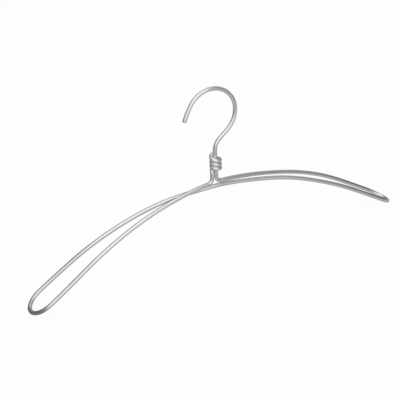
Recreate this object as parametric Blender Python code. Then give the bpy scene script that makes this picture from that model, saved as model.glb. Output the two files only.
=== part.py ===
"""Shirt hanger bent from one length of aluminium wire.

The wire is followed from the hook's tip down the stem, out and back along each double
shoulder, and up to the winding round the stem. It is divided into named stretches where
its shape changes. Metres, +Z up. The hanger's plane is XZ, the hook opens towards -X, and
the origin is the rail seat, the highest point of the hook's inside.
"""

import bpy
import math
import numpy as np

# Wire and fits
WIRE_D = 0.0042
JOINT_GAP = 0.0003
WINDING_CLEARANCE = 0.0003
CROSSING_CLEARANCE = 0.00035

# Shoulders, measured on the centreline of the wire
OVERALL_WIDTH = 0.420
SHOULDER_START_SLOPE = math.radians(3.15)
SHOULDER_END_SLOPE = math.radians(31.8)
SHOULDER_RADIUS = 0.320
STRAND_SPREAD = 0.0295
SPLAY_ANGLE = math.radians(3.61)
SPLAY_REACH = 0.1066
PARALLEL_REACH = 0.0505
END_LOOP_REACH = 0.0158

# Neck
NECK_BEND_RADIUS = 0.0050
STEM_ABOVE_WINDING = 0.0046
UNDER_NECK_REACH = 0.040
RIGHT_CLIMB_SHARE = 2.5
LEFT_CLIMB_SHARE = 0.98

# Winding
COIL_LEAD_LENGTH = 0.0044
COIL_TURN_GAP = 0.0005
COIL_TURNS = 3.25
COIL_ENTRY_RADIUS = 0.0038
COIL_END_LIFT = 0.0010
COIL_END_LIFT_TURNS = 0.35
COIL_END_STRAIGHT = 0.0021

# Hook, bend by bend from the top of the stem to the tip
HOOK_LOWER_BEND_RADIUS = 0.0149
HOOK_LOWER_BEND_ANGLE = math.radians(51.5)
HOOK_SLANT_LENGTH = 0.0114
HOOK_RADIUS = 0.0264
HOOK_ANGLE = math.radians(197.3)
HOOK_TIP_RADIUS = 0.077
HOOK_TIP_ANGLE = math.radians(13.3)

# Fineness of the mesh
SHOULDER_STEPS = 26
UNDER_NECK_STEPS = 14
END_LOOP_STEPS = 16
NECK_BEND_STEPS = 8
BEND_STEP_ANGLE = math.radians(8)
COIL_STEPS_PER_TURN = 24
WIRE_BEVEL_RESOLUTION = 4
COIL_BEVEL_RESOLUTION = 1
PLAN_HALVINGS = 50

# Finish, read from the photograph
ALUMINIUM_COLOUR = (0.80, 0.81, 0.82, 1.0)
ALUMINIUM_ROUGHNESS = 0.32
ALUMINIUM_METALLIC = 1.0

RIGHT = 1
LEFT = -1
BACK = 1
FRONT = -1
MILLIMETRES_PER_METRE = 1000

COIL_PITCH = WIRE_D + COIL_TURN_GAP
COIL_RADIUS = WIRE_D + WINDING_CLEARANCE
NECK_BEND_TANGENT = NECK_BEND_RADIUS * math.tan((math.pi / 2 - SHOULDER_START_SLOPE) / 2)
END_X = (OVERALL_WIDTH - WIRE_D) / 2
STRAND_END_X = END_X - END_LOOP_REACH
UNDER_DROP = WIRE_D + CROSSING_CLEARANCE


def clear_scene():
    for item in list(bpy.data.objects):
        bpy.data.objects.remove(item, do_unlink=True)


def shoulder_height(x):
    """Height of a shoulder's centreline at a distance x from the stem: slope, bend, slope."""
    start = NECK_BEND_TANGENT
    centre_x = start - SHOULDER_RADIUS * math.sin(SHOULDER_START_SLOPE)
    start_z = -start * math.tan(SHOULDER_START_SLOPE)
    centre_z = start_z - SHOULDER_RADIUS * math.cos(SHOULDER_START_SLOPE)
    end = centre_x + SHOULDER_RADIUS * math.sin(SHOULDER_END_SLOPE)
    if x < start:
        return -x * math.tan(SHOULDER_START_SLOPE)
    if x < end:
        return centre_z + math.sqrt(SHOULDER_RADIUS ** 2 - (x - centre_x) ** 2)
    end_z = centre_z + SHOULDER_RADIUS * math.cos(SHOULDER_END_SLOPE)
    return end_z - (x - end) * math.tan(SHOULDER_END_SLOPE)


def plan_point(t):
    """Plan of one strand, from the stem at t = 0 to the end loop at t = 1, as a cubic curve."""
    half = STRAND_SPREAD / 2
    handles = (
        (0.0, 0.0),
        (SPLAY_REACH * math.cos(SPLAY_ANGLE), SPLAY_REACH * math.sin(SPLAY_ANGLE)),
        (STRAND_END_X - PARALLEL_REACH, half),
        (STRAND_END_X, half),
    )
    weights = ((1 - t) ** 3, 3 * (1 - t) ** 2 * t, 3 * (1 - t) * t ** 2, t ** 3)
    x = sum(w * p[0] for w, p in zip(weights, handles))
    y = sum(w * p[1] for w, p in zip(weights, handles))
    return x, y


def plan_parameter(x):
    """The t at which a strand passes the distance x, found by halving the interval."""
    low, high = 0.0, 1.0
    for _ in range(PLAN_HALVINGS):
        middle = (low + high) / 2
        if plan_point(middle)[0] < x:
            low = middle
        else:
            high = middle
    return low


def under_drop(y, side):
    """How far the strand that runs under the neck lies below the other one.

    It eases off as the strands spread, y being their distance from the middle in plan, so
    they keep clear of each other all along. A larger share makes the climb longer.
    """
    share = RIGHT_CLIMB_SHARE if side == RIGHT else LEFT_CLIMB_SHARE
    spread = 2 * y / UNDER_DROP
    return UNDER_DROP * math.exp(-(spread / share) ** 2 / 2)


def strand_point(t, side, face):
    """A point of a strand. The strands meet in an X at the neck, so one pair runs lower there."""
    x, y = plan_point(t)
    z = shoulder_height(x)
    if side != face:
        z -= under_drop(y, side)
    return (side * x, face * y, z)


def strand(side, face, start_x):
    """A strand from start_x to its end loop."""
    start = plan_parameter(start_x)
    shares = np.linspace(start, 1.0, SHOULDER_STEPS + 1)
    return [strand_point(t, side, face) for t in shares]


def end_loop(side):
    """Rounded end from the back strand to the front one, in the shoulder's slope."""
    points = []
    for angle in np.linspace(0, math.pi, END_LOOP_STEPS + 1):
        x = STRAND_END_X + END_LOOP_REACH * math.sin(angle)
        y = STRAND_SPREAD / 2 * math.cos(angle)
        points.append((side * x, y, shoulder_height(x)))
    return points


def under_neck_run():
    """The strand that crosses beneath the neck, from the right front to the left back."""
    limit = plan_parameter(UNDER_NECK_REACH)
    shares = np.linspace(0, limit, UNDER_NECK_STEPS + 1)
    right = [strand_point(t, RIGHT, FRONT) for t in shares]
    left = [strand_point(t, LEFT, BACK) for t in shares]
    return right[:0:-1] + left


def neck_foot(side):
    """Where the neck's upright would meet the shoulder's line without a bend between them."""
    reach = 0.0 if side == RIGHT else COIL_RADIUS
    x = side * reach * math.cos(SPLAY_ANGLE)
    y = side * reach * math.sin(SPLAY_ANGLE)
    return np.array((x, y, -reach * math.tan(SHOULDER_START_SLOPE)))


def neck_bend(side):
    """Small bend from an upright of the neck into its shoulder."""
    foot = neck_foot(side)
    level = math.cos(SHOULDER_START_SLOPE)
    heading = np.array((
        side * level * math.cos(SPLAY_ANGLE),
        side * level * math.sin(SPLAY_ANGLE),
        -math.sin(SHOULDER_START_SLOPE),
    ))
    up = np.array((0.0, 0.0, 1.0))
    outward = heading - up * heading.dot(up)
    outward /= np.linalg.norm(outward)
    centre = foot + up * NECK_BEND_TANGENT + outward * NECK_BEND_RADIUS
    turn = math.pi / 2 - SHOULDER_START_SLOPE
    points = []
    for angle in np.linspace(0, turn, NECK_BEND_STEPS + 1):
        offset = -outward * math.cos(angle) - up * math.sin(angle)
        points.append(tuple(centre + offset * NECK_BEND_RADIUS))
    return points


def upright_base(side):
    """Height where an upright of the neck hands over to its bend."""
    return neck_foot(side)[2] + NECK_BEND_TANGENT


def coil_points():
    """The winding: up beside the stem, over into the helix, round, and a lifted cut end."""
    start_angle = math.pi + SPLAY_ANGLE
    climb = math.atan2(COIL_PITCH, 2 * math.pi * COIL_RADIUS)
    entry_base = upright_base(LEFT) + COIL_LEAD_LENGTH
    unrolled = [(0.0, upright_base(LEFT))]
    sweep = math.pi / 2 - climb
    steps = math.ceil(sweep / BEND_STEP_ANGLE)
    for angle in np.linspace(0, sweep, steps + 1):
        along = COIL_ENTRY_RADIUS * (1 - math.cos(angle))
        unrolled.append((along, entry_base + COIL_ENTRY_RADIUS * math.sin(angle)))
    entry_along, entry_z = unrolled[-1]
    circumference = 2 * math.pi * COIL_RADIUS
    total = COIL_TURNS * circumference
    count = math.ceil((total - entry_along) / circumference * COIL_STEPS_PER_TURN)
    lift_start = total - COIL_END_LIFT_TURNS * circumference
    for along in np.linspace(entry_along, total, count + 1)[1:]:
        z = entry_z + (along - entry_along) * math.tan(climb)
        z += COIL_END_LIFT * (max(along - lift_start, 0.0) / (total - lift_start)) ** 2
        unrolled.append((along, z))
    points = []
    for along, z in unrolled:
        angle = start_angle - along / COIL_RADIUS
        points.append((COIL_RADIUS * math.cos(angle), COIL_RADIUS * math.sin(angle), z))
    end, before = np.array(points[-1]), np.array(points[-2])
    tail = (end - before) / np.linalg.norm(end - before)
    points.append(tuple(end + tail * COIL_END_STRAIGHT))
    return points


def stem_height():
    """The stem stands a little above the winding's cut end, and the hook starts there."""
    return max(point[2] for point in coil_points()) + STEM_ABOVE_WINDING


def stem_points():
    return [(0.0, 0.0, upright_base(RIGHT)), (0.0, 0.0, stem_height())]


def hook_plane_points():
    """The hook in its plane, bend by bend, starting at the top of the stem and heading up."""
    position = np.array((0.0, stem_height()))
    heading = math.pi / 2
    bends = (
        (HOOK_LOWER_BEND_RADIUS, -HOOK_LOWER_BEND_ANGLE),
        (HOOK_RADIUS, HOOK_ANGLE),
        (HOOK_TIP_RADIUS, HOOK_TIP_ANGLE),
    )
    points = [position]
    for number, (radius, turn) in enumerate(bends):
        hand = math.copysign(1, turn)
        centre = position + hand * radius * np.array((-math.sin(heading), math.cos(heading)))
        steps = math.ceil(abs(turn) / BEND_STEP_ANGLE)
        for angle in np.linspace(heading, heading + turn, steps + 1)[1:]:
            points.append(centre + hand * radius * np.array((math.sin(angle), -math.cos(angle))))
        heading += turn
        position = points[-1]
        if number == 0:
            position = position + HOOK_SLANT_LENGTH * np.array((math.cos(heading), math.sin(heading)))
            points.append(position)
    return points


def rail_seat():
    """Highest point of the hook's inside, in the neck's own coordinates."""
    position = max(hook_plane_points(), key=lambda point: point[1])
    return np.array((position[0], 0.0, position[1] - WIRE_D / 2))


def shorten(points, start, end):
    """Takes a length off each end of a line of points, along its first and last runs."""
    points = [np.array(point) for point in points]
    for length, order in ((start, 1), (end, -1)):
        line = points[::order]
        remaining = length
        while np.linalg.norm(line[1] - line[0]) <= remaining:
            remaining -= np.linalg.norm(line[1] - line[0])
            line = line[1:]
        run = line[1] - line[0]
        line[0] = line[0] + run * remaining / np.linalg.norm(run)
        points = line[::order]
    return points


def aluminium(name):
    material = bpy.data.materials.new(name)
    material.use_nodes = True
    surface = material.node_tree.nodes["Principled BSDF"]
    surface.inputs["Base Color"].default_value = ALUMINIUM_COLOUR
    surface.inputs["Roughness"].default_value = ALUMINIUM_ROUGHNESS
    surface.inputs["Metallic"].default_value = ALUMINIUM_METALLIC
    return material


def wire_stretch(name, points, collection, resolution=WIRE_BEVEL_RESOLUTION, free_end=False):
    """One stretch of the wire, half a joint gap short at each end that meets another."""
    half_gap = JOINT_GAP / 2
    points = shorten(points, half_gap, 0.0 if free_end else half_gap)
    curve = bpy.data.curves.new(name, "CURVE")
    curve.dimensions = "3D"
    curve.bevel_depth = WIRE_D / 2
    curve.bevel_resolution = resolution
    curve.use_fill_caps = True
    spline = curve.splines.new("POLY")
    spline.points.add(len(points) - 1)
    for target, point in zip(spline.points, points):
        target.co = (*point, 1.0)
    spline.use_smooth = True
    curve.materials.append(aluminium(name + "_wire"))
    item = bpy.data.objects.new(name, curve)
    item.location = -rail_seat()
    collection.objects.link(item)
    return item


def least_gap(points):
    """Least gap of a tube to itself, measured between its points and well along its length."""
    points = np.array(points)
    steps = np.linalg.norm(np.diff(points, axis=0), axis=1)
    along = np.concatenate(([0.0], np.cumsum(steps)))
    apart = np.linalg.norm(points[:, None] - points[None], axis=2)
    near = np.abs(along[:, None] - along[None]) < 2 * COIL_RADIUS + WIRE_D
    return float(apart[~near].min()) - WIRE_D


def build():
    clear_scene()
    collection = bpy.data.collections.new("wire_shirt_hanger")
    bpy.context.scene.collection.children.link(collection)

    hook = [(x, 0.0, z) for x, z in hook_plane_points()]
    wire_stretch("hook", hook, collection, free_end=True)
    wire_stretch("stem", stem_points(), collection)
    wire_stretch("right_neck_bend", neck_bend(RIGHT), collection)
    wire_stretch("right_shoulder_back", strand(RIGHT, BACK, NECK_BEND_TANGENT), collection)
    wire_stretch("right_end_loop", end_loop(RIGHT), collection)
    wire_stretch("right_shoulder_front", strand(RIGHT, FRONT, UNDER_NECK_REACH), collection)
    wire_stretch("under_neck_run", under_neck_run(), collection)
    wire_stretch("left_shoulder_back", strand(LEFT, BACK, UNDER_NECK_REACH), collection)
    wire_stretch("left_end_loop", end_loop(LEFT), collection)
    left_front = strand(LEFT, FRONT, COIL_RADIUS + NECK_BEND_TANGENT)
    wire_stretch("left_shoulder_front", left_front, collection)
    wire_stretch("left_neck_bend", neck_bend(LEFT), collection)
    coil = coil_points()
    wire_stretch("neck_coil", coil, collection, COIL_BEVEL_RESOLUTION, free_end=True)
    gap = least_gap(coil) * MILLIMETRES_PER_METRE
    print("least gap of the winding to itself, mm:", round(gap, 3))


build()
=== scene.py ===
"""Shirt hanger bent from one length of satin aluminium wire, in its looks.

The wire is followed as it was bent: from the hook's cut tip down the stem, out and back
along each double shoulder, up beside the stem and three and a quarter times round it.
Every stretch is drawn from a round of the wire's size that is extruded from station to
station. The real shoulders aren't quite alike, so each has its own plan.
Metres, +Z up, the hanger's plane is XZ and the hook opens towards -X.
"""

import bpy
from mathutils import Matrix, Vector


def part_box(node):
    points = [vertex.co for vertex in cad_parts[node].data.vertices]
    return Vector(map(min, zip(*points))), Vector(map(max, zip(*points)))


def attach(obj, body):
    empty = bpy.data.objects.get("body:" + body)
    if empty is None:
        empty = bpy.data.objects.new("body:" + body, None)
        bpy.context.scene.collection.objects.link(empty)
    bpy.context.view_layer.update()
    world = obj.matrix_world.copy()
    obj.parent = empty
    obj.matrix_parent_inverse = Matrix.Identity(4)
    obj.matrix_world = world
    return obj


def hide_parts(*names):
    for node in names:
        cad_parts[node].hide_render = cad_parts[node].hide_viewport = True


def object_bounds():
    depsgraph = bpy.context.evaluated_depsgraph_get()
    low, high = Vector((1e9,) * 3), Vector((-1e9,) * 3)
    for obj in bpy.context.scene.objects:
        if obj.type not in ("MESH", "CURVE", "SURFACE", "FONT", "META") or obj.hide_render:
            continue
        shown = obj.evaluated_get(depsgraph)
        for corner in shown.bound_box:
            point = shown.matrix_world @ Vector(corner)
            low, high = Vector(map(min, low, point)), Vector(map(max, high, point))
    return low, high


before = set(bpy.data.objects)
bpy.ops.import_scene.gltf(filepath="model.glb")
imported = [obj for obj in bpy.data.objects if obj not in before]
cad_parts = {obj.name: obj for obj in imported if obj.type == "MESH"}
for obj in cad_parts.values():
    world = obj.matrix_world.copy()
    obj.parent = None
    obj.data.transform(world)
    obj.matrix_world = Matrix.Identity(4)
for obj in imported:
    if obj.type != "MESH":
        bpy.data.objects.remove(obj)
CAD_BOX = [list(corner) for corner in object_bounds()]

import math

import bpy
from bpy.props import FloatProperty, FloatVectorProperty, IntProperty, PointerProperty
from bpy.types import Operator, Panel, PropertyGroup
from mathutils import Matrix, Vector

bl_info = {
    "name": "Wire shirt hanger",
    "version": (1, 0, 0),
    "blender": (4, 5, 0),
    "location": "3D View > Sidebar > Hanger",
    "description": "Bends a shirt hanger from one length of aluminium wire, with its stage",
    "category": "Add Mesh",
}

BODY = "root"
UP = Vector((0.0, 0.0, 1.0))
RIGHT, LEFT = 1, -1
BACK, FRONT = 1, -1

# Gap between the frame's stretches, which the drawn wire closes
JOINT_GAP = 0.0003

# Two ends nearer than this are one place, and a drawn point nearer than this is in its place
SAME_PLACE = 0.0001
IN_PLACE = 0.00001

# A turn under this is none, a run is taken as no shorter, and a flat end's face looks along the wire
NO_TURN = 0.00001
LEAST_RUN = 0.000001
ALONG_THE_WIRE = 0.999

# Steps in which the wire's line is followed
STRAND_STEPS = 72
LOOP_STEPS = 40
UNDER_NECK_STEPS = 24
NECK_BEND_STEPS = 24
LEAD_STEPS = 8
ENTRY_STEPS = 20
STEPS_PER_TURN = 48
HOOK_STEP = math.radians(3)
PLAN_HALVINGS = 40

# Steps of a cut end's rounded edge, and the angle under which the wire is shaded smooth
CUT_EDGE_STEPS = 3
SMOOTH_ANGLE = math.radians(40)

# How far along the wire the marks of a hard bend fade out
MARK_FADE = 0.003

# The stretches with a cut end, and which of their stations it is at
CUT_ENDS = {"hook": 0, "neck_coil": -1}

# How often each mark on the metal repeats in a metre, along the wire and across it
LINES = (60.0, 5200.0, 5200.0)
CLOUDS = (70.0, 320.0, 320.0)
SPECKS = (1500.0, 1500.0, 1500.0)
SCUFFS = (1900.0, 420.0, 420.0)

# The same for the lines and the grain of a sheared end, in the hanger's own directions
SHEAR = (900.0, 9000.0, 900.0)
GRAIN = (4000.0, 4000.0, 4000.0)

# How finely the noise under each of them is broken up
LINE_DETAIL = 3.0
CLOUD_DETAIL = 3.0
SPECK_DETAIL = 1.0
SCUFF_DETAIL = 2.0
SHEAR_DETAIL = 2.0
GRAIN_DETAIL = 2.0

# The middle of a noise, and where in its noise a mark begins and is full
NOISE_MIDDLE = 0.5
CLOUD_EDGES = (0.38, 0.68)
SPECK_EDGES = (0.66, 0.76)
SCUFF_EDGES = (0.52, 0.70)

# How much each mark dulls the metal, and how much of that the bending has rubbed off
CLOUD_DULLING = 0.5
LINE_DULLING = 0.15
SPECK_DULLING = 0.2
RUBBED_OFF = 0.7

# How much each mark adds to the roughness, and the roughness of a sheared end
CLOUD_ROUGHNESS = 0.12
LINE_ROUGHNESS = 0.08
SCUFF_ROUGHNESS = 0.14
SPECK_ROUGHNESS = 0.1
CUT_ROUGHNESS = 0.38
GRAIN_ROUGHNESS = 0.25

# How high each mark stands, as a share of the bumps' distance
LINE_HEIGHT = 0.5
SCUFF_HEIGHT = 0.2
SPECK_HEIGHT = 0.2
GRAIN_HEIGHT = 0.5
DRAWN_BUMPS = {"Strength": 0.2, "Distance": 0.000008}
CUT_BUMPS = {"Strength": 0.5, "Distance": 0.00004}

# Plain studio cards that only show in the metal: a name, the azimuth that the card stands at
# (0 is the front and 90 the right), its height, its distance from the origin, its width and grey
STANDING_CARDS = (
    ("left_card", -125.0, 0.90, 0.8, 1.3, 0.30),
    ("back_card", 180.0, 1.50, 0.8, 2.4, 0.20),
    ("right_card", 68.0, 1.75, 0.8, 1.5, 0.28),
    ("left_end_card", -100.0, 0.20, 0.36, 0.60, 0.12),
    ("right_end_card", 95.0, 0.14, 0.42, 0.40, 0.10),
)

# The same lying level: a name, where its left, right, front and back edges are, how far it lies
# over the hanger's lowest point, and its grey
LEVEL_CARDS = (
    ("low_card", -0.75, 0.75, -0.75, 0.75, -0.001, 0.46),
    ("left_end_low_card", -0.30, -0.196, -0.10, 0.12, -0.0005, 0.18),
    ("left_end_shade", -0.26, -0.185, -0.005, 0.09, 0.15, 0.16),
)

# How far the floor lies under the hanger's lowest point
FLOOR_DROP = 0.002

LAMP_PLACE = Vector((-0.3, -1.4, 1.5))
LAMP_AIM = Vector((0.0, 0.0, -0.1))
LAMP_SIZE = 1.6
SENSOR_WIDTH = 36.0


def amount(name, default, description, **settings):
    return FloatProperty(name=name, description=description, default=default, **settings)


def length(name, default, description):
    return amount(name, default, description, min=0.0, precision=4, unit="LENGTH")


def angle(name, degrees, description):
    return amount(name, math.radians(degrees), description, subtype="ANGLE")


def fraction(name, default, description):
    return amount(name, default, description, min=0.0, max=1.0, subtype="FACTOR")


def tint(name, default, description):
    return FloatVectorProperty(
        name=name, description=description, default=default, subtype="COLOR", min=0.0, max=1.0,
    )


class HangerSizes(PropertyGroup):
    """Sizes of the bent wire, measured on its centreline."""

    wire: length("Wire", 0.0042, "Diameter of the wire")
    width: length("Overall width", 0.420, "From end to end of the shoulders, over the wire")
    shoulder_start: angle("Shoulder start slope", 3.15, "Slope of the shoulders at the neck")
    shoulder_end: angle("Shoulder end slope", 31.8, "Slope of the shoulders at their ends")
    shoulder_radius: length("Shoulder radius", 0.320, "Radius of the shoulders' bend seen from the front")
    spread: length("Strand spread", 0.0295, "Distance between the two strands at the ends")
    splay: angle("Splay angle", 3.61, "From above, how a strand on the left leaves the neck")
    splay_reach: length("Splay reach", 0.1066, "How far a strand on the left keeps its splay")
    parallel_reach: length("Parallel reach", 0.0505, "How far from the left end its strands are parallel")
    right_splay: angle("Right splay angle", 2.0, "From above, how a strand on the right leaves the neck")
    right_splay_reach: length("Right splay reach", 0.1003, "How far a strand on the right keeps its splay")
    right_parallel_reach: length("Right parallel reach", 0.1130, "The same reach from the right end")
    end_reach: length("End reach", 0.0158, "How far the rounded ends reach past the strands")
    neck_radius: length("Neck bend radius", 0.0050, "Radius of the small bends at the neck")
    crossing_clearance: length("Crossing clearance", 0.00035, "Gap where the strands cross under the neck")
    under_reach: length("Under-neck reach", 0.040, "Half the length of the run under the neck")
    right_climb: amount("Right climb share", 1.67, "How slowly the lower strand climbs back on the right")
    left_climb: amount("Left climb share", 0.98, "How slowly the lower strand climbs back on the left")
    right_sag: length("Right shoulder sag", 0.0014, "How much lower the middle of the right shoulder runs")
    stem: length("Stem height", 0.03369, "From the foot of the neck to the first bend of the hook")
    lower_radius: length("Lower bend radius", 0.0149, "Radius of the bend that leads out of the stem")
    lower_angle: angle("Lower bend angle", 51.5, "Turn of the bend that leads out of the stem")
    slant: length("Slant length", 0.0114, "Straight between the lower bend and the hook")
    hook_radius: length("Hook radius", 0.0264, "Radius of the hook")
    hook_angle: angle("Hook angle", 197.3, "Turn of the hook")
    tip_radius: length("Tip radius", 0.077, "Radius of the last bend before the tip")
    tip_angle: angle("Tip angle", 13.3, "Turn of the last bend before the tip")
    lead: length("Lead length", 0.0048, "Straight of the wire beside the stem, under the winding")
    lead_foot: length("Lead foot reach", 0.0051, "From the stem to the lead at the lead's foot")
    winding_clearance: length("Winding clearance", 0.00003, "Gap between the stem and the winding")
    turn_gap: length("Turn gap", 0.0001, "Gap between the turns of the winding")
    turns: amount("Turns", 3.25, "Turns of the winding", min=1.0)
    entry_radius: length("Entry radius", 0.0038, "Bend from the lead into the winding")
    end_lift: length("End lift", 0.0020, "How far the winding's cut end lifts off the turn below")
    end_lift_turns: amount("End lift turns", 0.5, "Turns over which the cut end lifts", min=0.01)
    end_straight: length("End straight", 0.0021, "Straight at the winding's cut end")
    end_round: length("Cut edge", 0.0003, "Rounding of the edge at a cut end")
    sides: IntProperty(name="Sides", description="Sides of the wire's round", default=32, min=8)


class HangerFinish(PropertyGroup):
    """Colours and finish of the wire and its cut ends."""

    bright: tint("Bright metal", (0.86, 0.865, 0.87), "Colour of the drawn wire")
    dull: tint("Dulled metal", (0.76, 0.765, 0.77), "Colour where the wire has dulled")
    cut: tint("Cut metal", (0.60, 0.60, 0.61), "Colour of the sheared ends")
    roughness: fraction("Roughness", 0.30, "Roughness of the drawn wire")


class HangerStage(PropertyGroup):
    """Floor, background, light and camera."""

    floor: tint("Floor colour", (0.9, 0.9, 0.9), "Colour of the floor")
    floor_size: length("Floor size", 8.0, "Side of the floor")
    shadow: fraction("Shadow share", 0.06, "How much of the floor's shading shows")
    soft: amount("Soft light", 0.85, "Strength of the light from all round", min=0.0)
    lamp: amount("Lamp power", 0.8, "Power of the large lamp above the front", min=0.0, unit="POWER")
    azimuth: angle("Camera azimuth", -28.097, "Angle round the hanger at which the camera stands")
    elevation: angle("Camera elevation", 26.535, "Angle at which the camera looks down")
    roll: angle("Camera roll", -2.879, "Turn of the picture about the line of sight")
    distance: length("Camera distance", 1.2485, "From the camera to the foot of the neck")
    lens: amount("Lens", 112.7, "Focal length for a sensor 36 mm wide", unit="CAMERA")
    shift: FloatVectorProperty(
        name="Shift", description="Shift of the picture for the framing",
        default=(-0.04138, -0.04707), size=2,
    )


# The wire's line


def neck_tangent(size):
    return size.neck_radius * math.tan((math.pi / 2 - size.shoulder_start) / 2)


def neck_foot(size):
    """Where the stem would meet the shoulders without a bend, in the frame's own place."""
    low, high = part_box("stem")
    return Vector(((low.x + high.x) / 2, 0.0, low.z - JOINT_GAP / 2 - neck_tangent(size)))


def shoulder_height(size, x):
    """Height of a shoulder's centreline at a distance x from the stem: crest, bend, slope."""
    start = neck_tangent(size)
    if x < start:
        return -(x * x / start + start) / 2 * math.tan(size.shoulder_start)
    middle_x = start - size.shoulder_radius * math.sin(size.shoulder_start)
    middle_z = -start * math.tan(size.shoulder_start)
    middle_z -= size.shoulder_radius * math.cos(size.shoulder_start)
    end = middle_x + size.shoulder_radius * math.sin(size.shoulder_end)
    if x < end:
        return middle_z + math.sqrt(size.shoulder_radius ** 2 - (x - middle_x) ** 2)
    end_z = middle_z + size.shoulder_radius * math.cos(size.shoulder_end)
    return end_z - (x - end) * math.tan(size.shoulder_end)


def strand_end(size):
    return (size.width - size.wire) / 2 - size.end_reach


def splay_of(size, side):
    return size.right_splay if side == RIGHT else size.splay


def plan_point(size, t, side):
    """Plan of a strand from the neck, at t = 0, to its rounded end, at t = 1."""
    half, end = size.spread / 2, strand_end(size)
    splay = splay_of(size, side)
    reach = size.right_splay_reach if side == RIGHT else size.splay_reach
    parallel_reach = size.right_parallel_reach if side == RIGHT else size.parallel_reach
    handles = (
        Vector((0.0, 0.0)),
        Vector((reach * math.cos(splay), reach * math.sin(splay))),
        Vector((end - parallel_reach, half)),
        Vector((end, half)),
    )
    weights = ((1 - t) ** 3, 3 * (1 - t) ** 2 * t, 3 * (1 - t) * t ** 2, t ** 3)
    return sum((handle * weight for handle, weight in zip(handles, weights)), Vector((0.0, 0.0)))


def plan_parameter(size, x, side):
    """The t at which a strand passes the distance x."""
    low, high = 0.0, 1.0
    for _ in range(PLAN_HALVINGS):
        middle = (low + high) / 2
        if plan_point(size, middle, side).x < x:
            low = middle
        else:
            high = middle
    return low


def strand_point(size, t, side, face):
    """A point of a strand. One pair of strands runs under the other at the neck."""
    x, y = plan_point(size, t, side)
    z = shoulder_height(size, x)
    if side != face:
        drop = size.wire + size.crossing_clearance
        share = size.right_climb if side == RIGHT else size.left_climb
        z -= drop * math.exp(-(2 * y / drop / share) ** 2 / 2) * (1 - t ** 4)
    if side == RIGHT:
        z -= size.right_sag * math.sin(math.pi * x / strand_end(size)) ** 2
    return Vector((side * x, face * y, z))


def spaced(start, end, steps):
    return [start + (end - start) * step / steps for step in range(steps + 1)]


def strand(size, side, face, start_x):
    start = plan_parameter(size, start_x, side)
    return [strand_point(size, t, side, face) for t in spaced(start, 1.0, STRAND_STEPS)]


def end_loop(size, side):
    """Rounded end from the back strand to the front one, in the shoulder's slope."""
    points = []
    for turn in spaced(0.0, math.pi, LOOP_STEPS):
        x = strand_end(size) + size.end_reach * math.sin(turn)
        points.append(Vector((side * x, size.spread / 2 * math.cos(turn), shoulder_height(size, x))))
    return points


def under_neck_run(size):
    """The strand that crosses beneath the neck, from the right front to the left back."""
    halves = []
    for side, face in ((RIGHT, FRONT), (LEFT, BACK)):
        shares = spaced(0.0, plan_parameter(size, size.under_reach, side), UNDER_NECK_STEPS)
        halves.append([strand_point(size, t, side, face) for t in shares])
    right, left = halves
    return right[:0:-1] + left


def winding_radius(size):
    return size.wire + size.winding_clearance


def upright_foot(size, side):
    """Where an upright of the neck would meet its shoulder's line."""
    reach = 0.0 if side == RIGHT else size.lead_foot
    return Vector((
        side * reach * math.cos(splay_of(size, side)),
        side * reach * math.sin(splay_of(size, side)),
        -reach * math.tan(size.shoulder_start),
    ))


def neck_bend(size, side):
    """Small bend from an upright of the neck into its shoulder."""
    splay = splay_of(size, side)
    outward = Vector((side * math.cos(splay), side * math.sin(splay), 0.0))
    middle = upright_foot(size, side) + UP * neck_tangent(size) + outward * size.neck_radius
    return [
        middle - (outward * math.cos(turn) + UP * math.sin(turn)) * size.neck_radius
        for turn in spaced(0.0, math.pi / 2 - size.shoulder_start, NECK_BEND_STEPS)
    ]


def unrolled_winding(size, base, entry):
    """The lead, its bend and the turns on a flat sheet: how far round the stem, and how high."""
    around = 2 * math.pi * winding_radius(size)
    climb = math.atan2(size.wire + size.turn_gap, around)
    line = [(0.0, z) for z in spaced(base, entry, LEAD_STEPS)]
    for turn in spaced(0.0, math.pi / 2 - climb, ENTRY_STEPS):
        line.append((size.entry_radius * (1 - math.cos(turn)), entry + size.entry_radius * math.sin(turn)))
    begun, height = line[-1]
    total = size.turns * around
    lift_start = total - size.end_lift_turns * around
    for along in spaced(begun, total, round((total - begun) / around * STEPS_PER_TURN))[1:]:
        lifted = max(along - lift_start, 0.0) / (total - lift_start)
        line.append((along, height + (along - begun) * math.tan(climb) + size.end_lift * lifted ** 2))
    return line


def winding(size):
    """Up beside the stem, over into the turns, round the stem, and the cut end lifted off."""
    radius = winding_radius(size)
    quarter_turn = math.pi / 2 * radius
    base = upright_foot(size, LEFT).z + neck_tangent(size)
    entry = base + size.lead
    turned_in = entry + size.entry_radius
    points = []
    for along, z in unrolled_winding(size, base, entry):
        turn = math.pi + size.splay - along / radius
        lean = max(turned_in - z, 0.0) / (turned_in - base) if along < quarter_turn else 0.0
        reach = radius + (size.lead_foot - radius) * lean ** 2 * (3 - 2 * lean)
        points.append(Vector((reach * math.cos(turn), reach * math.sin(turn), z)))
    tail = (points[-1] - points[-2]).normalized()
    return points + [points[-1] + tail * size.end_straight]


def hook_line(size):
    """The hook from the top of the stem to its tip: each bend, and the straight after it."""
    position, heading = Vector((0.0, 0.0, size.stem)), math.pi / 2
    points = [position]
    bends = (
        (size.lower_radius, -size.lower_angle, size.slant),
        (size.hook_radius, size.hook_angle, 0.0),
        (size.tip_radius, size.tip_angle, 0.0),
    )
    for radius, turn, straight in bends:
        hand = math.copysign(1.0, turn)
        middle = position + hand * radius * Vector((-math.sin(heading), 0.0, math.cos(heading)))
        for at in spaced(heading, heading + turn, math.ceil(abs(turn) / HOOK_STEP))[1:]:
            points.append(middle + hand * radius * Vector((math.sin(at), 0.0, -math.cos(at))))
        heading += turn
        position = points[-1]
        if straight:
            position = position + straight * Vector((math.cos(heading), 0.0, math.sin(heading)))
            points.append(position)
    return points


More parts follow.
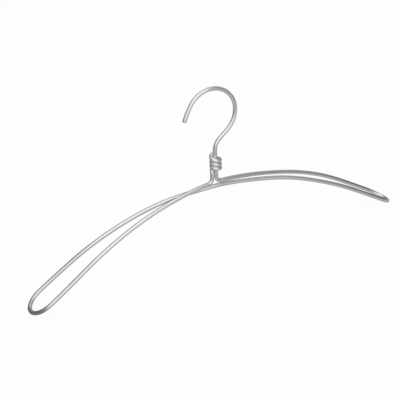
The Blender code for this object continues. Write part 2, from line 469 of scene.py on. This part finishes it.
def stretch_lines(size):
    """Every stretch's points, in the order and the direction in which the wire runs."""
    tangent = neck_tangent(size)
    left_front = strand(size, LEFT, FRONT, size.lead_foot + tangent)
    stem_top, stem_base = Vector((0.0, 0.0, size.stem)), Vector((0.0, 0.0, tangent))
    return {
        "hook": hook_line(size)[::-1],
        "stem": [stem_top, stem_base],
        "right_neck_bend": neck_bend(size, RIGHT),
        "right_shoulder_back": strand(size, RIGHT, BACK, tangent),
        "right_end_loop": end_loop(size, RIGHT),
        "right_shoulder_front": strand(size, RIGHT, FRONT, size.under_reach)[::-1],
        "under_neck_run": under_neck_run(size),
        "left_shoulder_back": strand(size, LEFT, BACK, size.under_reach),
        "left_end_loop": end_loop(size, LEFT),
        "left_shoulder_front": left_front[::-1],
        "left_neck_bend": neck_bend(size, LEFT)[::-1],
        "neck_coil": winding(size),
    }


class Station:
    """A place along the wire: its middle, heading, a mark across it, and how hard it is bent."""

    def __init__(self, middle, heading, mark, along, worked):
        self.middle, self.heading, self.mark = middle, heading, mark
        self.along, self.worked = along, worked


def ease_marks(stations):
    """Lets the marks of a hard bend fade out along the wire on both sides of it."""
    hard = [(station.along, station.worked) for station in stations]
    for station in stations:
        nearness = [math.exp(-((along - station.along) / MARK_FADE) ** 2 / 2) for along, _ in hard]
        marks = sum(near * worked for near, (_, worked) in zip(nearness, hard))
        station.worked = marks / sum(nearness)


def lay_out(size):
    """The stations of the whole wire, shared out to its stretches, which meet in one station."""
    foot = neck_foot(size)
    points, spans = [], {}
    for name, line in stretch_lines(size).items():
        line = [foot + point for point in line]
        if points:
            line = line[1:] if (line[0] - points[-1]).length < SAME_PLACE else line
            first = len(points) - 1
        else:
            first = 0
        points += line
        spans[name] = (first, len(points))
    runs = [(b - a).normalized() for a, b in zip(points, points[1:])]
    runs = [runs[0]] + runs + [runs[-1]]
    mark = runs[0].cross(Vector((0.0, 1.0, 0.0))).normalized()
    along, stations, previous = 0.0, [], runs[0]
    for number, point in enumerate(points):
        heading = (runs[number] + runs[number + 1]).normalized()
        mark = previous.rotation_difference(heading) @ mark
        mark = (mark - heading * mark.dot(heading)).normalized()
        near = (points[max(number - 1, 0)] - points[min(number + 1, len(points) - 1)]).length
        if number:
            along += (point - points[number - 1]).length
        bend = runs[number].angle(runs[number + 1], 0.0) / max(near / 2, LEAST_RUN)
        stations.append(Station(point, heading, mark, along, min(bend * size.neck_radius, 1.0)))
        previous = heading
    ease_marks(stations)
    return {name: stations[first:last] for name, (first, last) in spans.items()}


# Drawing the wire


def put_down_selection():
    if bpy.context.object and bpy.context.object.mode != "OBJECT":
        bpy.ops.object.mode_set(mode="OBJECT")
    bpy.ops.object.select_all(action="DESELECT")


def set_round(name, size, station):
    """Adds a round of the wire's size across a station."""
    put_down_selection()
    across = Matrix((station.mark, station.heading.cross(station.mark), station.heading)).transposed()
    bpy.ops.mesh.primitive_circle_add(
        vertices=size.sides, radius=size.wire / 2, fill_type="NGON",
        location=station.middle, rotation=across.to_euler(),
    )
    piece = bpy.context.object
    piece.name = piece.data.name = name
    bpy.ops.object.transform_apply(location=True, rotation=True, scale=True)
    return piece


def draw_on(station, following):
    """Extrudes the wire's end to the next station and turns it into the wire's new heading."""
    step = following.middle - station.middle
    bpy.ops.mesh.extrude_region_move(TRANSFORM_OT_translate={"value": step})
    turn = station.heading.angle(following.heading, 0.0)
    if turn < NO_TURN:
        return
    axis = station.heading.cross(following.heading).normalized()
    side = axis.orthogonal().normalized()
    frame_of_turn = Matrix((side, axis.cross(side), axis)).transposed().to_4x4()
    bpy.context.scene.cursor.matrix = Matrix.Translation(following.middle) @ frame_of_turn
    bpy.ops.transform.rotate(
        value=-turn, orient_axis="Z", orient_type="CURSOR", center_override=following.middle,
    )


def note_places(piece, size, stations):
    """Notes on the mesh where each point lies along and round the wire, and how hard it was bent."""
    mesh = piece.data
    if len(mesh.vertices) != size.sides * len(stations):
        raise RuntimeError(piece.name + ": the drawn wire has lost or gained points")
    mesh.attributes.new("wire_place", "FLOAT_VECTOR", "POINT")
    mesh.attributes.new("wire_worked", "FLOAT", "POINT")
    place, worked = mesh.attributes["wire_place"], mesh.attributes["wire_worked"]
    for number, station in enumerate(stations):
        other = station.heading.cross(station.mark)
        for index in range(number * size.sides, (number + 1) * size.sides):
            arm = mesh.vertices[index].co - station.middle
            if abs(arm.length - size.wire / 2) > IN_PLACE or abs(arm.dot(station.heading)) > IN_PLACE:
                raise RuntimeError(piece.name + ": a drawn round isn't where its station is")
            place.data[index].vector = (station.along, arm.dot(station.mark), arm.dot(other))
            worked.data[index].value = station.worked


def dress_cut_end(piece, size, station):
    """Rounds the edge of a cut end a little and gives its face the cut metal."""
    piece.data.materials.append(metal("sheared_wire_end", cut_metal))
    put_down_selection()
    bpy.context.view_layer.objects.active = piece
    piece.select_set(True)
    for face in piece.data.polygons:
        face.select = False
    for edge in piece.data.edges:
        edge.select = False
    for vertex in piece.data.vertices:
        arm = vertex.co - station.middle
        vertex.select = abs(arm.dot(station.heading)) < IN_PLACE and arm.length < size.wire
    bpy.ops.object.mode_set(mode="EDIT")
    bpy.ops.mesh.select_mode(type="VERT")
    bpy.ops.mesh.select_mode(type="EDGE")
    bpy.ops.mesh.bevel(offset=size.end_round, segments=CUT_EDGE_STEPS)
    bpy.ops.object.mode_set(mode="OBJECT")
    for face in piece.data.polygons:
        flat = abs(face.normal.dot(station.heading)) > ALONG_THE_WIRE
        if flat and (face.center - station.middle).length < size.wire / 4:
            face.material_index = len(piece.data.materials) - 1


def draw_stretch(node, size, stations):
    """Draws one stretch of the wire, finishes it and sets it in its node's place."""
    piece = set_round(node + "_wire", size, stations[0])
    bpy.ops.object.mode_set(mode="EDIT")
    bpy.ops.mesh.select_all(action="SELECT")
    for station, following in zip(stations, stations[1:]):
        draw_on(station, following)
    bpy.ops.mesh.select_all(action="SELECT")
    bpy.ops.mesh.normals_make_consistent(inside=False)
    bpy.ops.object.mode_set(mode="OBJECT")
    note_places(piece, size, stations)
    piece.data.materials.append(metal("satin_drawn_wire", drawn_metal))
    if node in CUT_ENDS:
        dress_cut_end(piece, size, stations[CUT_ENDS[node]])
    put_down_selection()
    bpy.context.view_layer.objects.active = piece
    piece.select_set(True)
    bpy.ops.object.shade_smooth_by_angle(angle=SMOOTH_ANGLE)
    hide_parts(node)
    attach(piece, BODY)


# Materials


class Reading:
    """A socket's value that is added and multiplied in plain Python, each time by a Math node."""

    def __init__(self, table, socket):
        self.table, self.socket = table, socket

    def combine(self, operation, first, second):
        node = self.table.add("ShaderNodeMath", {"operation": operation}, {0: first, 1: second})
        return Reading(self.table, node.outputs[0])

    def __add__(self, other):
        return self.combine("ADD", self, other)

    def __sub__(self, other):
        return self.combine("SUBTRACT", self, other)

    def __rsub__(self, other):
        return self.combine("SUBTRACT", other, self)

    def __mul__(self, other):
        return self.combine("MULTIPLY", self, other)

    __radd__ = __add__
    __rmul__ = __mul__


class NodeTable:
    """The nodes of one material or world."""

    def __init__(self, owner):
        owner.use_nodes = True
        self.tree = owner.node_tree
        self.tree.nodes.clear()

    def add(self, kind, settings=None, inputs=None):
        """Adds a node with its settings, and the values or links of its sockets."""
        node = self.tree.nodes.new(kind)
        for name, value in (settings or {}).items():
            if name == "stops":
                for stop, (position, colour) in zip(node.color_ramp.elements, value):
                    stop.position, stop.color = position, (colour, colour, colour, 1.0)
            else:
                setattr(node, name, value)
        for key, value in (inputs or {}).items():
            socket = node.inputs[key]
            if isinstance(value, Reading):
                value = value.socket
            if isinstance(value, bpy.types.NodeSocket):
                self.tree.links.new(value, socket)
            else:
                socket.default_value = value
        return node

    def reading(self, kind, output, settings=None, inputs=None):
        return Reading(self, self.add(kind, settings, inputs).outputs[output])

    def stretched_noise(self, vector, stretch, detail):
        """Noise on a vector stretched by a factor in each direction."""
        scaled = self.add("ShaderNodeVectorMath", {"operation": "MULTIPLY"}, {0: vector, 1: stretch})
        sockets = {"Vector": scaled.outputs[0], "Scale": 1.0, "Detail": detail}
        return self.reading("ShaderNodeTexNoise", "Fac", None, sockets)

    def mask(self, value, edges):
        """A mask that rises from 0 at the first edge to 1 at the second."""
        low, high = edges
        stops = ((low, 0.0), (high, 1.0))
        return self.reading("ShaderNodeValToRGB", "Color", {"stops": stops}, {"Fac": value})

    def between(self, factor, first, second):
        """A colour between two, by a factor."""
        sockets = {0: factor, 6: (*first, 1.0), 7: (*second, 1.0)}
        return self.add("ShaderNodeMix", {"data_type": "RGBA"}, sockets).outputs[2]

    def metal_surface(self, colour, roughness, bumps, height):
        """Finishes the table as metal of a colour and a roughness, with bumps of a height."""
        bump = self.add("ShaderNodeBump", None, {**bumps, "Height": height})
        surface = self.add("ShaderNodeBsdfPrincipled", None, {
            "Base Color": colour, "Metallic": 1.0, "Roughness": roughness, "Normal": bump.outputs[0],
        })
        self.add("ShaderNodeOutputMaterial", None, {"Surface": surface.outputs[0]})


def drawn_metal(finish):
    """Satin drawn wire: fine lines along it, dull clouds, and rubbed, scuffed metal at hard bends."""
    material = bpy.data.materials.new("satin_drawn_wire")
    table = NodeTable(material)
    place = table.add("ShaderNodeAttribute", {"attribute_name": "wire_place"}).outputs["Vector"]
    worked = table.reading("ShaderNodeAttribute", "Fac", {"attribute_name": "wire_worked"})
    lines = table.stretched_noise(place, LINES, LINE_DETAIL)
    clouds = table.stretched_noise(place, CLOUDS, CLOUD_DETAIL)
    specks = table.mask(table.stretched_noise(place, SPECKS, SPECK_DETAIL), SPECK_EDGES)
    scuffs = table.mask(table.stretched_noise(place, SCUFFS, SCUFF_DETAIL), SCUFF_EDGES) * worked
    dulling = table.mask(clouds, CLOUD_EDGES) * CLOUD_DULLING
    dulling = dulling + (lines - NOISE_MIDDLE) * LINE_DULLING + specks * SPECK_DULLING
    colour = table.between(dulling * (1 - RUBBED_OFF * worked), finish.bright, finish.dull)
    roughness = finish.roughness + (clouds - NOISE_MIDDLE) * CLOUD_ROUGHNESS
    roughness = roughness + (lines - NOISE_MIDDLE) * LINE_ROUGHNESS
    roughness = roughness + scuffs * SCUFF_ROUGHNESS + specks * SPECK_ROUGHNESS
    height = lines * LINE_HEIGHT + scuffs * SCUFF_HEIGHT - specks * SPECK_HEIGHT
    table.metal_surface(colour, roughness, DRAWN_BUMPS, height)
    return material


def cut_metal(finish):
    """Sheared end of the wire: greyer and rougher, with the shear's lines across it."""
    material = bpy.data.materials.new("sheared_wire_end")
    table = NodeTable(material)
    own = table.add("ShaderNodeTexCoord").outputs["Object"]
    shear = table.stretched_noise(own, SHEAR, SHEAR_DETAIL)
    grain = table.stretched_noise(own, GRAIN, GRAIN_DETAIL)
    colour = table.between(shear, finish.cut, finish.dull)
    roughness = CUT_ROUGHNESS + grain * GRAIN_ROUGHNESS
    table.metal_surface(colour, roughness, CUT_BUMPS, shear + grain * GRAIN_HEIGHT)
    return material


def metal(kind, make):
    """The material of that name, made the first time that it is asked for."""
    return bpy.data.materials.get(kind) or make(bpy.context.scene.hanger_finish)


def draw_stretches(*nodes):
    """Draws the stretches that stand for the named nodes."""
    size = bpy.context.scene.hanger_sizes
    laid = lay_out(size)
    for node in nodes:
        draw_stretch(node, size, laid[node])


# Operators


class HANGER_OT_add_hook(Operator):
    """Add the hook with its cut tip, and the stem under it"""

    bl_idname = "hanger.add_hook"
    bl_label = "Hook and stem"

    def execute(self, context):
        draw_stretches("hook", "stem")
        return {"FINISHED"}


class HANGER_OT_add_shoulders(Operator):
    """Add the four strands of the shoulders and the run that crosses under the neck"""

    bl_idname = "hanger.add_shoulders"
    bl_label = "Shoulders"

    def execute(self, context):
        draw_stretches(
            "right_shoulder_back", "right_shoulder_front", "under_neck_run",
            "left_shoulder_back", "left_shoulder_front",
        )
        return {"FINISHED"}


class HANGER_OT_add_end_loops(Operator):
    """Add the rounded ends of the shoulders"""

    bl_idname = "hanger.add_end_loops"
    bl_label = "Rounded ends"

    def execute(self, context):
        draw_stretches("right_end_loop", "left_end_loop")
        return {"FINISHED"}


class HANGER_OT_add_neck_bends(Operator):
    """Add the two small bends from the neck into the shoulders"""

    bl_idname = "hanger.add_neck_bends"
    bl_label = "Neck bends"

    def execute(self, context):
        draw_stretches("right_neck_bend", "left_neck_bend")
        return {"FINISHED"}


class HANGER_OT_add_winding(Operator):
    """Add the lead beside the stem and the winding round it, with its cut end"""

    bl_idname = "hanger.add_winding"
    bl_label = "Winding"

    def execute(self, context):
        draw_stretches("neck_coil")
        return {"FINISHED"}


def add_card(name, middle, tilt, turn, width, height, grey):
    """Adds a studio card: one even grey that shows in the metal and nowhere else."""
    put_down_selection()
    bpy.ops.mesh.primitive_plane_add(size=1.0, location=middle, rotation=(tilt, 0.0, turn))
    card = bpy.context.object
    card.name = card.data.name = name
    card.scale = (width, height, 1.0)
    bpy.ops.object.transform_apply(location=True, rotation=True, scale=True)
    material = bpy.data.materials.new(name)
    table = NodeTable(material)
    shine = table.add("ShaderNodeEmission", None, {"Color": (grey, grey, grey, 1.0), "Strength": 1.0})
    table.add("ShaderNodeOutputMaterial", None, {"Surface": shine.outputs[0]})
    card.data.materials.append(material)
    card.visible_camera = card.visible_diffuse = card.visible_shadow = False


def add_cards(ground):
    """Stands and lays the cards round the hanger, whose lowest point is at the ground."""
    for name, azimuth, height, distance, width, grey in STANDING_CARDS:
        turn = math.radians(azimuth)
        middle = (distance * math.sin(turn), -distance * math.cos(turn), ground + height / 2)
        add_card(name, middle, math.pi / 2, turn, width, height, grey)
    for name, left, right, front, back, height, grey in LEVEL_CARDS:
        middle = ((left + right) / 2, (front + back) / 2, ground + height)
        add_card(name, middle, 0.0, 0.0, right - left, back - front, grey)


def shown_rays(table):
    """1 for what the camera sees, itself or in metal or glass, and 0 for light on other surfaces."""
    path = table.add("ShaderNodeLightPath")
    seen = Reading(table, path.outputs["Is Camera Ray"]) + Reading(table, path.outputs["Is Glossy Ray"])
    return seen + Reading(table, path.outputs["Is Transmission Ray"])


def add_floor(stage, height):
    """Adds the pale floor, which keeps a faint shadow where it is seen."""
    put_down_selection()
    bpy.ops.mesh.primitive_plane_add(size=stage.floor_size, location=(0.0, 0.0, height))
    floor = bpy.context.object
    floor.name = floor.data.name = "floor"
    material = bpy.data.materials.new("pale_floor")
    table = NodeTable(material)
    matte = table.add("ShaderNodeBsdfDiffuse", None, {"Color": (*stage.floor, 1.0)})
    white = table.add("ShaderNodeEmission", None, {"Color": (1.0, 1.0, 1.0, 1.0), "Strength": 1.0})
    share = shown_rays(table) * (1.0 - stage.shadow)
    mixed = table.add("ShaderNodeMixShader", None, {0: share, 1: matte.outputs[0], 2: white.outputs[0]})
    table.add("ShaderNodeOutputMaterial", None, {"Surface": mixed.outputs[0]})
    floor.data.materials.append(material)


def light_the_stage(stage):
    """Soft light from all round, white where it is seen, and one large lamp above the front."""
    world = bpy.data.worlds.new("soft_white")
    bpy.context.scene.world = world
    table = NodeTable(world)
    strength = stage.soft + shown_rays(table) * (1.0 - stage.soft)
    white = {"Color": (1.0, 1.0, 1.0, 1.0), "Strength": strength}
    background = table.add("ShaderNodeBackground", None, white)
    table.add("ShaderNodeOutputWorld", None, {"Surface": background.outputs[0]})
    put_down_selection()
    bpy.ops.object.light_add(type="AREA", location=LAMP_PLACE)
    lamp = bpy.context.object
    lamp.name = "large_lamp"
    lamp.data.shape = "SQUARE"
    lamp.data.size = LAMP_SIZE
    lamp.data.energy = stage.lamp
    lamp.rotation_euler = (LAMP_PLACE - LAMP_AIM).to_track_quat("Z", "Y").to_euler()


def set_camera(stage, foot):
    """Stands the camera where the photograph was taken from, in line with the foot of the neck."""
    azimuth, roll = stage.azimuth, stage.roll
    ahead = math.cos(stage.elevation)
    back = Vector((math.sin(azimuth) * ahead, -math.cos(azimuth) * ahead, math.sin(stage.elevation)))
    level = Vector((math.cos(azimuth), math.sin(azimuth), 0.0))
    upward = back.cross(level)
    right = level * math.cos(roll) + upward * math.sin(roll)
    above = upward * math.cos(roll) - level * math.sin(roll)
    put_down_selection()
    turned = Matrix((right, above, back)).transposed()
    bpy.ops.object.camera_add(location=foot + back * stage.distance, rotation=turned.to_euler())
    camera = bpy.context.object
    camera.name = "camera"
    camera.data.sensor_fit = "HORIZONTAL"
    camera.data.sensor_width = SENSOR_WIDTH
    camera.data.lens = stage.lens
    camera.data.shift_x, camera.data.shift_y = stage.shift
    camera.data.dof.use_dof = False
    bpy.context.scene.camera = camera


class HANGER_OT_add_stage(Operator):
    """Add the floor, the studio cards, the light and the camera"""

    bl_idname = "hanger.add_stage"
    bl_label = "Stage"

    def execute(self, context):
        stage = context.scene.hanger_stage
        ground = CAD_BOX[0][2]
        add_floor(stage, ground - FLOOR_DROP)
        add_cards(ground)
        light_the_stage(stage)
        set_camera(stage, neck_foot(context.scene.hanger_sizes))
        context.scene.view_settings.view_transform = "Standard"
        return {"FINISHED"}


class HANGER_PT_panel(Panel):
    """Lists the hanger's pieces, sizes and finish"""

    bl_idname = "HANGER_PT_panel"
    bl_label = "Shirt hanger"
    bl_space_type = "VIEW_3D"
    bl_region_type = "UI"
    bl_category = "Hanger"

    def draw(self, context):
        for operator in OPERATORS:
            self.layout.operator(operator.bl_idname)
        for group in (context.scene.hanger_sizes, context.scene.hanger_finish, context.scene.hanger_stage):
            column = self.layout.column(align=True)
            for name in group.__annotations__:
                column.prop(group, name)


OPERATORS = (
    HANGER_OT_add_hook,
    HANGER_OT_add_shoulders,
    HANGER_OT_add_end_loops,
    HANGER_OT_add_neck_bends,
    HANGER_OT_add_winding,
    HANGER_OT_add_stage,
)
CLASSES = (HangerSizes, HangerFinish, HangerStage, *OPERATORS, HANGER_PT_panel)


def register():
    for item in CLASSES:
        bpy.utils.register_class(item)
    bpy.types.Scene.hanger_sizes = PointerProperty(type=HangerSizes)
    bpy.types.Scene.hanger_finish = PointerProperty(type=HangerFinish)
    bpy.types.Scene.hanger_stage = PointerProperty(type=HangerStage)


def unregister():
    del bpy.types.Scene.hanger_stage
    del bpy.types.Scene.hanger_finish
    del bpy.types.Scene.hanger_sizes
    for item in reversed(CLASSES):
        bpy.utils.unregister_class(item)


def main():
    register()
    bpy.ops.hanger.add_hook()
    bpy.ops.hanger.add_shoulders()
    bpy.ops.hanger.add_end_loops()
    bpy.ops.hanger.add_neck_bends()
    bpy.ops.hanger.add_winding()
    bpy.ops.hanger.add_stage()
    put_down_selection()
    bpy.context.scene.cursor.matrix = Matrix.Identity(4)


if __name__ == "__main__":
    main()
